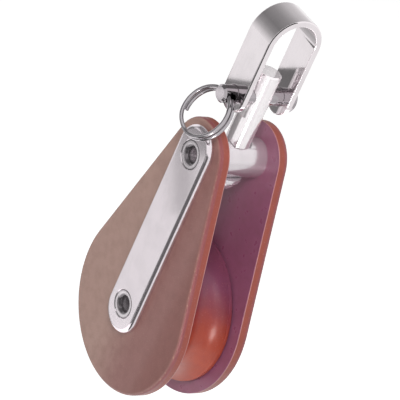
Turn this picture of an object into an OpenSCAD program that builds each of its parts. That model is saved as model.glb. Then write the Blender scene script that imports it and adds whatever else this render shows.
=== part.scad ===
// Swivel sailing block with laminated cheeks, riveted steel straps and a strip shackle
// Millimetres, +Z up. The origin is the centre of the round bow that the block hangs by.
// X runs along the swallow, Y along the axle, and the left side is the one towards -Y.

/* [Cheeks] */
// Radius of a cheek round the axle
cheek_low_r = 24.4; // [23:0.1:27]
// Radius of a cheek round the crosshead
cheek_top_r = 10.5; // [9:0.1:12]
// How far the upper round sits below the crosshead
cheek_top_drop = 0.7; // [0:0.1:1.5]
// Thickness of a cheek
cheek_t = 3.2; // [2.4:0.1:4.5]
// Rounding of a cheek's outer rim
cheek_round = 0.9; // [0.3:0.1:1.2]
// Clear width between the cheeks
cheek_gap = 16; // [13:0.2:19]

/* [Straps] */
// Distance from the axle to the crosshead
rivet_span = 48.5; // [44:0.5:56]
// Width of a strap
strap_w = 13.4; // [11:0.1:16]
// Thickness of a strap
strap_t = 1.9; // [1.5:0.1:2.6]
// How far a strap's end rounds sit beyond its rivets
strap_over = 1.5; // [0:0.1:3]
// Easing of a strap's outer edge
strap_ease = 0.4; // [0.2:0.05:0.7]

/* [Rivet ends] */
// Diameter of a rivet shank
shank_d = 6; // [5:0.1:6.6]
// Diameter of the hole down a rivet
shank_bore_d = 3.8; // [3:0.1:4]
// Diameter of a rivet's flared lip
flare_d = 7.7; // [7.2:0.1:8.6]
// Depth over which the lip flares
flare_h = 1.2; // [0.9:0.1:1.3]
// Radius of the trumpet mouth
mouth_r = 1.3; // [0.9:0.1:1.4]

/* [Crosshead and swivel] */
// Diameter of the crosshead
crosshead_d = 10.8; // [10:0.1:13]
// Depth of the flats that seat the post and its washer
spot_depth = 0.9; // [0.6:0.1:1.2]
// Diameter of the swivel post
post_d = 7; // [6.4:0.1:8]
// Height of the clevis pin above the crosshead
pin_rise = 19; // [17.5:0.5:26]
// Metal above the pin's centre at the post's top
post_crown = 7.4; // [3.6:0.1:8]
// Diameter of the stud through the crosshead
stud_d = 5; // [4:0.1:5.4]
// Diameter of the swivel washer
washer_d = 10; // [9:0.1:12]
// Thickness of the swivel washer
washer_t = 1.2; // [0.8:0.1:2]
// Diameter of the stud's peened head
peen_d = 9; // [7:0.1:9.4]
// Height of the stud's peened head
peen_h = 3.8; // [1.5:0.1:4.4]

/* [Shackle] */
// Outer radius of the bow
bow_r = 8.3; // [7.4:0.1:10]
// Thickness of the strip
strip_t = 1.75; // [1.4:0.05:2.2]
// Width of the strip
strip_w = 9.4; // [8:0.1:12]
// Distance from the clevis pin to the bow's centre
bow_rise = 17; // [14:0.5:24]

/* [Clevis pin and ring] */
// Diameter of the clevis pin
pin_d = 4.8; // [4.2:0.1:5]
// Diameter of the pin's head
pin_head_d = 8; // [7:0.1:9]
// Thickness of the pin's head
pin_head_t = 1.6; // [1.2:0.1:2.5]
// Distance from the leg to the ring's hole
ring_hole_out = 2.1; // [2:0.1:4]
// Diameter of the ring's hole
ring_hole_d = 3; // [2.9:0.05:3.2]
// Metal past the ring's hole at the pin's tip
tip_metal = 0.6; // [0.6:0.1:1.5]
// Mean diameter of the split ring
ring_d = 14.3; // [13.5:0.1:18]
// Diameter of the ring's wire
wire_d = 1.1; // [1:0.05:1.15]
// Distance between the ring's two turns
turn_pitch = 1.55; // [1.55:0.05:1.6]
// Lean of the ring away from straight down
ring_lean = 30; // [25:1:60]

/* [Sheave] */
// Diameter of the sheave
sheave_d = 42; // [38:0.5:43]
// Radius of the rope groove
groove_r = 7; // [6.6:0.1:8]
// Depth of the rope groove
groove_depth = 3.9; // [3:0.1:4.5]
// Rounding of the sheave's rims
sheave_round = 0.5; // [0.2:0.05:0.6]
// Side play of the sheave between the cheeks
sheave_play = 0.4; // [0.3:0.05:0.6]
// Outer diameter of the axle sleeve
sleeve_d = 9; // [8.4:0.1:11]

/* [Fits] */
// Radial clearance of a running fit
run_clear = 0.05; // [0.02:0.01:0.09]
// Radial clearance of a riveted fit
rivet_clear = 0.05; // [0.03:0.01:0.08]
// End play of the swivel post over the crosshead
post_play = 0.2; // [0.1:0.05:0.4]
// Gap under the clevis pin's head
head_gap = 0.1; // [0.05:0.05:0.3]

/* [Hidden] */
$fn = 96;
plate_sides = 80;                           // facets round a plate's end
ease_sides = 16;                            // facets round the section of an eased rim
cut = 1;                                    // overrun of every cutting body
crosshead_z = -bow_rise - pin_rise;         // axis of the crosshead
axle_z = crosshead_z - rivet_span;          // axis of the sheave
pin_z = -bow_rise;                          // axis of the clevis pin
cheek_span = rivet_span - cheek_top_drop;
inner_y = cheek_gap / 2;                    // inner face of a cheek
cheek_y = inner_y + cheek_t;                // outer face of a cheek
strap_y = cheek_y + strap_t;                // outer face of a strap
flare_recess = 0.1;                         // lip below the strap's face
seat_angle = atan((flare_d - shank_d) / 2 / flare_h);
seat_clear = rivet_clear / cos(seat_angle); // radial gap that keeps the cone's clearance
lip_y = strap_y - flare_recess;             // outermost face of a rivet's lip
mouth_top_r = shank_bore_d / 2 + mouth_r;
spigot_bore_depth = strap_t + cheek_t - 1;
sheave_w = cheek_gap - 2 * sheave_play;
spot_z = crosshead_d / 2 - spot_depth;      // height of a spot face over the crosshead's axis
spot_clear = 0.4;                           // width of a spot face outside what it seats
leg_y = bow_r;                              // outer face of a shackle leg
post_chamfer = 0.4;
tip_chamfer = 0.6;
head_round = 0.5;
tip_y = leg_y + ring_hole_out + ring_hole_d / 2 + tip_metal;
ring_hole_y = leg_y + ring_hole_out;

// The split ring is one wire wound through two turns less the gap at its crossing
ring_sides = 8;                             // corners round the wire
ring_steps = 62;                            // rings along the wire
cross_half = 32;                            // half angle of the crossing, in degrees
end_gap = 4;                                // angle from a wire's end to the crossing
wind_from = cross_half + end_gap;
wind_to = 720 - cross_half - end_gap;
// sagitta of a turn inside the pin, halved so that both ends clear the hole alike
ring_sag = (ring_d / 2 - sqrt(pow(ring_d / 2, 2) - pow(pin_d / 2, 2))) / 2;
cross_turn = 205;                           // where round the ring the crossing lies

// Section of an eased rim, width by height with its outer upper corner rounded
module rim_section(width, height, ease) {
    square([width, height - ease]);
    translate([0, height - ease])
        square([width - ease, ease]);
    intersection() {
        translate([width - ease, height - ease])
            circle(ease);
        translate([width - ease, height - ease])
            square(ease);
    }
}

// Round end of a plate, eased over its upper rim in a few facets
module eased_round(r, height, ease) {
    rotate_extrude($fn = plate_sides)
        rim_section(r, height, ease, $fn = ease_sides);
}

// Plate of two rounds and their tangents, with its upper rim eased
module eased_plate(low_r, top_r, span, height, ease) {
    hull() {
        eased_round(low_r, height, ease);
        translate([0, span, 0])
            eased_round(top_r, height, ease);
    }
}

// Stands a plate that was drawn flat on one side of the block, its base at depth y
module stand(y, left) {
    mirror([0, left ? 1 : 0, 0])
        translate([0, y, axle_z])
            mirror([0, 1, 0])
                rotate([90, 0, 0])
                    children();
}

// Through hole along Y at a height
module cross_hole(r, z, from_y, to_y) {
    translate([0, from_y, z])
        rotate([-90, 0, 0])
            cylinder(r = r, h = to_y - from_y);
}

// Half section of a hollow rivet end, its lip at the top of the given length
module flared_section(length, bore_depth) {
    difference() {
        union() {
            square([shank_d / 2, length]);
            polygon([
                [0, length - flare_h],
                [shank_d / 2, length - flare_h],
                [flare_d / 2, length],
                [0, length]
            ]);
        }
        translate([0, length - bore_depth])
            square([shank_bore_d / 2, bore_depth + cut]);
        difference() {
            translate([0, length - mouth_r])
                square([mouth_top_r, mouth_r + cut]);
            translate([mouth_top_r, length - mouth_r])
                circle(mouth_r);
        }
    }
}

// Countersink that a flared lip fills, opening outwards at the strap's outer face
module flare_seat() {
    rise = flare_recess * tan(seat_angle);
    cylinder(
        r1 = shank_d / 2 + seat_clear,
        r2 = flare_d / 2 + seat_clear + rise,
        h = flare_h + flare_recess
    );
}

module cheek(left) {
    color("rosybrown")
        difference() {
            stand(inner_y, left)
                eased_plate(cheek_low_r, cheek_top_r, cheek_span, cheek_t, cheek_round);
            for (z = [axle_z, crosshead_z])
                mirror([0, left ? 1 : 0, 0])
                    cross_hole(shank_d / 2 + rivet_clear, z, inner_y - cut, cheek_y + cut);
        }
}

module cheek_left() {
    cheek(true);
}

module cheek_right() {
    cheek(false);
}

module strap(left) {
    color("silver")
        difference() {
            stand(cheek_y, left)
                translate([0, -strap_over, 0])
                    eased_plate(strap_w / 2, strap_w / 2, rivet_span + 2 * strap_over, strap_t, strap_ease);
            for (z = [axle_z, crosshead_z])
                mirror([0, left ? 1 : 0, 0]) {
                    cross_hole(shank_d / 2 + rivet_clear, z, cheek_y - cut, strap_y + cut);
                    translate([0, strap_y - flare_h - flare_recess, z])
                        rotate([-90, 0, 0])
                            flare_seat();
                }
        }
}

module strap_left() {
    strap(true);
}

module strap_right() {
    strap(false);
}

module crosshead() {
    color("gainsboro")
        translate([0, 0, crosshead_z])
            difference() {
                union() {
                    translate([0, -inner_y, 0])
                        rotate([-90, 0, 0])
                            cylinder(d = crosshead_d, h = cheek_gap);
                    for (side = [0, 1])
                        mirror([0, side, 0])
                            rotate([-90, 0, 0])
                                rotate_extrude()
                                    flared_section(lip_y, spigot_bore_depth);
                }
                cylinder(d = stud_d + 2 * run_clear, h = crosshead_d + 2 * cut, center = true);
                translate([0, 0, spot_z])
                    cylinder(d = post_d + 2 * spot_clear, h = spot_depth + cut);
                translate([0, 0, -spot_z - spot_depth - cut])
                    cylinder(d = washer_d + 2 * spot_clear, h = spot_depth + cut);
            }
}

module axle_rivet() {
    color("gainsboro")
        translate([0, 0, axle_z])
            for (side = [0, 1])
                mirror([0, side, 0])
                    rotate([-90, 0, 0])
                        rotate_extrude()
                            flared_section(lip_y, lip_y);
}

module axle_sleeve() {
    color("darkgray")
        translate([0, 0, axle_z])
            difference() {
                translate([0, -inner_y, 0])
                    rotate([-90, 0, 0])
                        cylinder(d = sleeve_d, h = cheek_gap);
                cross_hole(shank_d / 2 + rivet_clear, 0, -inner_y - cut, inner_y + cut);
            }
}

module sheave() {
    rim_r = sheave_d / 2;
    color("indianred")
        translate([0, 0, axle_z])
            rotate([90, 0, 0])
                rotate_extrude()
                    difference() {
                        union()
                            for (side = [0, 1])
                                mirror([0, side])
                                    rim_section(rim_r, sheave_w / 2, sheave_round);
                        translate([0, -sheave_w / 2 - cut])
                            square([sleeve_d / 2 + run_clear, sheave_w + 2 * cut]);
                        translate([rim_r - groove_depth + groove_r, 0])
                            circle(groove_r);
                    }
}

module swivel_post() {
    foot_z = spot_z + post_play;
    top_z = pin_rise + post_crown;
    washer_z = -spot_z - washer_t;
    cap_r = (pow(peen_d / 2, 2) + pow(peen_h, 2)) / (2 * peen_h);
    color("whitesmoke")
        translate([0, 0, crosshead_z])
            difference() {
                rotate_extrude() {
                    translate([0, foot_z])
                        square([post_d / 2, top_z - post_chamfer - foot_z]);
                    polygon([
                        [0, top_z - post_chamfer],
                        [post_d / 2, top_z - post_chamfer],
                        [post_d / 2 - post_chamfer, top_z],
                        [0, top_z]
                    ]);
                    translate([0, washer_z])
                        square([stud_d / 2, foot_z - washer_z]);
                    intersection() {
                        translate([0, washer_z - peen_h + cap_r])
                            circle(cap_r);
                        translate([0, washer_z - peen_h])
                            square([peen_d / 2, peen_h]);
                    }
                }
                cross_hole(pin_d / 2 + run_clear, pin_rise, -post_d, post_d);
            }
}

module swivel_washer() {
    color("darkgray")
        translate([0, 0, crosshead_z - spot_z - washer_t])
            difference() {
                cylinder(d = washer_d, h = washer_t);
                translate([0, 0, -cut])
                    cylinder(d = stud_d + 2 * rivet_clear, h = washer_t + 2 * cut);
            }
}

module shackle() {
    color("silver")
        difference() {
            union() {
                translate([-strip_w / 2, 0, 0])
                    rotate([90, 0, 90])
                        linear_extrude(strip_w)
                            difference() {
                                union() {
                                    circle(bow_r);
                                    translate([-bow_r, pin_z])
                                        square([2 * bow_r, bow_rise]);
                                }
                                circle(bow_r - strip_t);
                                translate([strip_t - bow_r, pin_z - cut])
                                    square([2 * (bow_r - strip_t), bow_rise + cut]);
                            }
                for (side = [0, 1])
                    mirror([0, side, 0])
                        cross_hole(strip_w / 2, pin_z, bow_r - strip_t, bow_r);
            }
            cross_hole(pin_d / 2 + run_clear, pin_z, -bow_r - cut, bow_r + cut);
        }
}

module clevis_pin() {
    color("gainsboro")
        translate([0, 0, pin_z])
            difference() {
                rotate([-90, 0, 0])
                    rotate_extrude() {
                        translate([0, -tip_y + tip_chamfer])
                            square([pin_d / 2, tip_y - tip_chamfer + leg_y + head_gap]);
                        polygon([
                            [0, -tip_y],
                            [pin_d / 2 - tip_chamfer, -tip_y],
                            [pin_d / 2, -tip_y + tip_chamfer],
                            [0, -tip_y + tip_chamfer]
                        ]);
                        translate([0, leg_y + head_gap])
                            rim_section(pin_head_d / 2, pin_head_t, head_round);
                    }
                translate([-pin_d, -ring_hole_y, 0])
                    rotate([0, 90, 0])
                        cylinder(d = ring_hole_d, h = 2 * pin_d);
            }
}

// Centre of the wire at an angle along its two turns: x across, y radial, z along the ring's axis
function wind_rise(a) =
    let (s = min(1, max(0, (a - 360 + cross_half) / (2 * cross_half))))
    turn_pitch * (s * s * (3 - 2 * s) - 0.5);

function wire_point(a) = [
    ring_d / 2 * sin(a + cross_turn),
    ring_d / 2 * cos(a + cross_turn),
    wind_rise(a)
];

// Least gap between the wire's two turns, measured on points along them
wire_steps = [wind_from : 4 : wind_to - 180];
function least(list, i = 0, best = 1e9) = i == len(list) ? best : least(list, i + 1, min(best, list[i]));
turn_gap = least([
    for (a = wire_steps, b = [a + 180 : 4 : wind_to]) norm(wire_point(a) - wire_point(b))
]) - wire_d;
echo(turn_gap = turn_gap);

module split_ring() {
    angles = [for (i = [0 : ring_steps]) wind_from + (wind_to - wind_from) * i / ring_steps];
    corners = [
        for (a = angles)
            let (c = wire_point(a), out = [sin(a + cross_turn), cos(a + cross_turn), 0])
            for (k = [0 : ring_sides - 1])
                let (t = 360 * (k + 0.5) / ring_sides)
                c + wire_d / 2 * (cos(t) * out + sin(t) * [0, 0, 1])
    ];
    last = ring_steps * ring_sides;
    walls = [
        for (i = [0 : ring_steps - 1], k = [0 : ring_sides - 1])
            let (a = i * ring_sides + k, b = i * ring_sides + (k + 1) % ring_sides)
            each [[a, a + ring_sides, b], [b, a + ring_sides, b + ring_sides]]
    ];
    ends = [
        [for (k = [0 : ring_sides - 1]) k],
        [for (k = [ring_sides - 1 : -1 : 0]) last + k]
    ];
    color("silver")
        translate([0, -ring_hole_y, pin_z])
            rotate([90 - ring_lean, 0, 0])
                translate([0, -ring_d / 2 + ring_sag, 0])
                    polyhedron(corners, concat(walls, ends));
}

cheek_left();
cheek_right();
strap_left();
strap_right();
crosshead();
axle_rivet();
axle_sleeve();
sheave();
swivel_post();
swivel_washer();
shackle();
clevis_pin();
split_ring();
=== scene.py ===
"""Looks of a swivel sailing block: laminate cheeks, a grooved wheel, steel straps, a swivel and a shackle.

Lengths are millimetres until a mesh is made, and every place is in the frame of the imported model: the origin
is the centre of the shackle's bow, X runs along the clamped fitting, Y along the pins, and Z points up.
"""

import logging
import math
from collections.abc import Sequence
from dataclasses import dataclass
from enum import Enum

import bmesh
import bpy
import numpy as np
from mathutils import Matrix, Vector
from numpy.typing import NDArray


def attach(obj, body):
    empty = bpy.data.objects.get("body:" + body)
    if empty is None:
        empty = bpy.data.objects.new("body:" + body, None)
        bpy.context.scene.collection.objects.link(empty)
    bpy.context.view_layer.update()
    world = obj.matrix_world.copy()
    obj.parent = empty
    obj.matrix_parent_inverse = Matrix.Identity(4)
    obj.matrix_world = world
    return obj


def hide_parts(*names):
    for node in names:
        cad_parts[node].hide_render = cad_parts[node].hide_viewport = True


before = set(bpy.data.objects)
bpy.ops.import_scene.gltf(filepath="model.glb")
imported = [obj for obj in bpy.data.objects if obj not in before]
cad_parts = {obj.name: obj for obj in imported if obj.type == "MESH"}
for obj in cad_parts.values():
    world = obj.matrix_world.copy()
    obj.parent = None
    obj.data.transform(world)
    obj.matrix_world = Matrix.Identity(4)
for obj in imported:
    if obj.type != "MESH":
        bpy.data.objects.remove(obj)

log = logging.getLogger("sailing_block")

Array = NDArray[np.float64]
Piece = bpy.types.Object
Pair = tuple[float, float]
Triple = tuple[float, float, float]

MM = 0.001
SUPPORT = 0.06  # distance of a supporting row from the edge that it keeps crisp
SUPPORT_SHARE = 0.25  # share of a short side that the distance of such a row may take
MERGE = 0.001  # distance within which two points of a seam are one
SLIVER = 0.0002  # length below which an edge is dissolved
NEARBY = 1e-5  # distance within which two points of an outline are one
LEAST_ANGLE = 1e-4  # least angle in radians between a corner's side and its bisector, or square to it
DOME_STEPS = 5  # rings that round over each end of a wire
DOME_LENGTH = 0.5  # length of such an end in radii of the wire
FINE_SHARE = 0.55  # strength of each finer octave of noise against the one before
SCREEN_STEP = 5.0  # degrees between the columns of a round screen
SIDEWAYS = (0.0, -1.0, 0.0)
WHITE = (1.0, 1.0, 1.0, 1.0)


# Shapes


@dataclass(frozen=True)
class Sizes:
    """Named sizes of the block in millimetres, the same as in the part's source."""

    cheek_low_r: float = 24.4
    cheek_top_r: float = 10.5
    cheek_top_drop: float = 0.7
    cheek_t: float = 3.2
    cheek_round: float = 0.9
    cheek_gap: float = 16.0
    rivet_span: float = 48.5
    strap_w: float = 13.4
    strap_t: float = 1.9
    strap_over: float = 1.5
    shank_d: float = 6.0
    shank_bore_d: float = 3.8
    flare_d: float = 7.7
    flare_h: float = 1.2
    mouth_r: float = 1.3
    crosshead_d: float = 10.8
    spot_depth: float = 0.9
    washer_d: float = 10.0
    washer_t: float = 1.2
    stud_d: float = 5.0
    bow_r: float = 8.3
    strip_t: float = 1.75
    strip_w: float = 9.4
    bow_rise: float = 17.0
    pin_rise: float = 19.0
    pin_d: float = 4.8
    ring_hole_out: float = 2.1
    ring_d: float = 14.3
    wire_d: float = 1.1
    turn_pitch: float = 1.55
    ring_lean: float = 30.0
    sheave_d: float = 42.0
    groove_r: float = 7.0
    groove_depth: float = 3.9
    sheave_round: float = 0.5
    sheave_play: float = 0.4
    sleeve_d: float = 9.0
    run_clear: float = 0.05
    rivet_clear: float = 0.05
    flare_recess: float = 0.1

    @property
    def pin_z(self) -> float:
        """Height of the clevis pin."""
        return -self.bow_rise

    @property
    def crosshead_z(self) -> float:
        """Height of the crosshead's axis."""
        return self.pin_z - self.pin_rise

    @property
    def axle_z(self) -> float:
        """Height of the wheel's axis."""
        return self.crosshead_z - self.rivet_span

    @property
    def inner_y(self) -> float:
        """Inner face of a cheek."""
        return self.cheek_gap / 2

    @property
    def cheek_y(self) -> float:
        """Outer face of a cheek."""
        return self.inner_y + self.cheek_t

    @property
    def strap_y(self) -> float:
        """Outer face of a strap."""
        return self.cheek_y + self.strap_t

    @property
    def lip_y(self) -> float:
        """Outermost face of a rivet's lip."""
        return self.strap_y - self.flare_recess

    @property
    def spot_z(self) -> float:
        """Height of a spot face over the crosshead's axis."""
        return self.crosshead_d / 2 - self.spot_depth


SIZES = Sizes()


def turned(angle: Array) -> Array:
    """Unit vectors at angles from +Z towards +X, as an array of (x, z) pairs."""
    return np.stack([np.sin(angle), np.cos(angle)], axis=-1)


def arc_rows(radius: float, steps: int) -> Array:
    """Quarter round as (inset, depth) pairs, from the face at inset = radius to the side at depth = radius.

    At an angle f from 0 to 90 degrees, inset = radius * (1 - sin f) and depth = radius * (1 - cos f).
    """
    f = np.linspace(0, math.pi / 2, steps + 1)
    return radius * np.stack([1 - np.sin(f), 1 - np.cos(f)], axis=-1)


def looped(profile: Array) -> Array:
    """Profile with its first point again at its end."""
    return np.concatenate([profile, profile[:1]])


def rounded(
    points: Sequence[Sequence[float]], radii: Sequence[float], steps: int = 6, closed: bool = True
) -> Array:
    """Polygon with each corner replaced by an arc, worked out for all the corners at once.

    At a corner with half angle h between its two sides, the arc of radius r touches them at r / tan h from
    the corner, its centre lies at r / sin h along the bisector, and it turns through pi - 2 h.

    Args:
        points: Corners in order, as pairs.
        radii: Radius of each corner, 0 for a sharp one.
        steps: Segments of each arc.
        closed: True for a loop, False for an open line whose two ends stay.

    Returns:
        Points of the rounded outline, as pairs, with a support point next to each arc's ends.
    """
    p = np.asarray(points, float)
    r = np.asarray(radii, float)
    back = np.roll(p, 1, 0) - p
    ahead = np.roll(p, -1, 0) - p
    len_back = np.linalg.norm(back, axis=1, keepdims=True)
    len_ahead = np.linalg.norm(ahead, axis=1, keepdims=True)
    back, ahead = back / len_back, ahead / len_ahead
    h = 0.5 * np.arccos(np.clip(np.sum(back * ahead, axis=1), -1, 1))
    h = np.clip(h, LEAST_ANGLE, math.pi / 2 - LEAST_ANGLE)
    bisector = back + ahead
    bisector /= np.maximum(np.linalg.norm(bisector, axis=1, keepdims=True), NEARBY)
    centre = p + bisector * (r / np.sin(h))[:, None]
    start = p + back * (r / np.tan(h))[:, None] - centre
    sweep = math.pi - 2 * h
    side = np.sign(back[:, 0] * ahead[:, 1] - back[:, 1] * ahead[:, 0])
    t = np.linspace(0, 1, steps + 1)[None, :] * (side * -sweep)[:, None]
    cos, sin = np.cos(t), np.sin(t)
    arc_x = start[:, :1] * cos - start[:, 1:] * sin
    arc_y = start[:, :1] * sin + start[:, 1:] * cos
    arc = centre[:, None, :] + np.stack([arc_x, arc_y], axis=-1)
    spare = np.minimum(SUPPORT, SUPPORT_SHARE * np.minimum(len_back, len_ahead))
    lead = arc[:, :1] + (back * spare)[:, None]
    trail = arc[:, -1:] + (ahead * spare)[:, None]
    corners = np.concatenate([lead, arc, trail], axis=1)
    out = corners.reshape(-1, 2)
    if not closed:
        out = np.concatenate([p[:1], corners[1:-1].reshape(-1, 2), p[-1:]])
    step = np.linalg.norm(np.diff(out, axis=0), axis=1)
    keep = np.concatenate([[True], step > NEARBY])
    return out[keep]


class Skin:
    """Surface of one piece, gathered from grids of points in millimetres."""

    def __init__(self) -> None:
        """Starts with no points."""
        self.points: list[Array] = []
        self.faces: list[list[int]] = []
        self.count = 0

    def grid(self, points: Array, wrap: bool = False) -> "Skin":
        """Adds a grid of points as quads, each between two rows and two columns.

        Args:
            points: Array of rows by columns by 3.
            wrap: True where the last column joins the first.

        Returns:
            The same skin, so that calls chain.
        """
        rows, columns = points.shape[:2]
        index = self.count + np.arange(rows * columns).reshape(rows, columns)
        if wrap:
            index = np.concatenate([index, index[:, :1]], axis=1)
        quads = np.stack([index[:-1, :-1], index[1:, :-1], index[1:, 1:], index[:-1, 1:]], axis=-1)
        self.points.append(points.reshape(-1, 3))
        self.faces.extend(quads.reshape(-1, 4).tolist())
        self.count += rows * columns
        return self

    def piece(self, name: str, crease: float = 40.0) -> Piece:
        """Makes the mesh in metres, with seams merged and faces outwards.

        Args:
            name: Name of the piece.
            crease: Angle in degrees past which an edge is drawn sharp.

        Returns:
            The object, at the origin.
        """
        mesh = bpy.data.meshes.new(name)
        mesh.from_pydata((np.concatenate(self.points) * MM).tolist(), [], self.faces)
        return finished(name, mesh, crease)


def finished(name: str, mesh: bpy.types.Mesh, crease: float) -> Piece:
    """Object of a mesh, its doubles merged, its faces turned outwards and its shading smooth up to a crease.

    Args:
        name: Name of the piece.
        mesh: Its mesh, in metres.
        crease: Angle in degrees past which an edge is drawn sharp.

    Returns:
        The linked object, at the origin.
    """
    work = bmesh.new()
    work.from_mesh(mesh)
    bmesh.ops.remove_doubles(work, verts=work.verts, dist=MERGE * MM)
    bmesh.ops.dissolve_degenerate(work, edges=work.edges, dist=SLIVER * MM)
    bmesh.ops.recalc_face_normals(work, faces=work.faces)
    work.to_mesh(mesh)
    work.free()
    mesh.polygons.foreach_set("use_smooth", np.ones(len(mesh.polygons), bool))
    mesh.set_sharp_from_angle(angle=math.radians(crease))
    piece = bpy.data.objects.new(name, mesh)
    bpy.context.scene.collection.objects.link(piece)
    return piece


def revolved(profile: Array, centre_z: float, segments: int, upright: bool) -> Array:
    """Grid of a profile turned about an axis through the block's middle.

    A profile point (r, s) at turn angle t goes to (r sin t, s, centre_z + r cos t) about the Y axis, or to
    (r sin t, r cos t, centre_z + s) about the Z axis.

    Args:
        profile: Pairs of radius and place along the axis.
        centre_z: Height of the axis, or of the profile's zero where the axis is upright.
        segments: Columns round the axis.
        upright: True for the Z axis, False for the Y axis.

    Returns:
        Array of profile points by segments by 3, to be wrapped.
    """
    t = np.linspace(0, 2 * math.pi, segments, endpoint=False)
    r, s = profile[:, :1], profile[:, 1:] + 0 * t
    across, up = r * np.sin(t), r * np.cos(t)
    if upright:
        return np.stack([across, up, centre_z + s], axis=-1)
    return np.stack([across, s, centre_z + up], axis=-1)


def turned_piece(
    name: str, profile: Array, centre_z: float, segments: int = 128, upright: bool = False
) -> Piece:
    """Piece of a profile turned about an axis, all given as revolved() takes them."""
    return Skin().grid(revolved(profile, centre_z, segments, upright), wrap=True).piece(name)


def tube(inner: float, outer: float, ends: Pair, breaks: Pair) -> Array:
    """Half section of a tube as a loop.

    Args:
        inner: Radius of its bore.
        outer: Radius of its outside.
        ends: Places of its lower and upper end along the axis.
        breaks: Radii of its broken edges, at the bore and at the outside.

    Returns:
        Pairs of radius and place along the axis.
    """
    low, high = ends
    bore, rim = breaks
    corners = [[inner, low], [outer, low], [outer, high], [inner, high]]
    return looped(rounded(corners, [bore, rim, rim, bore], steps=3))


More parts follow.
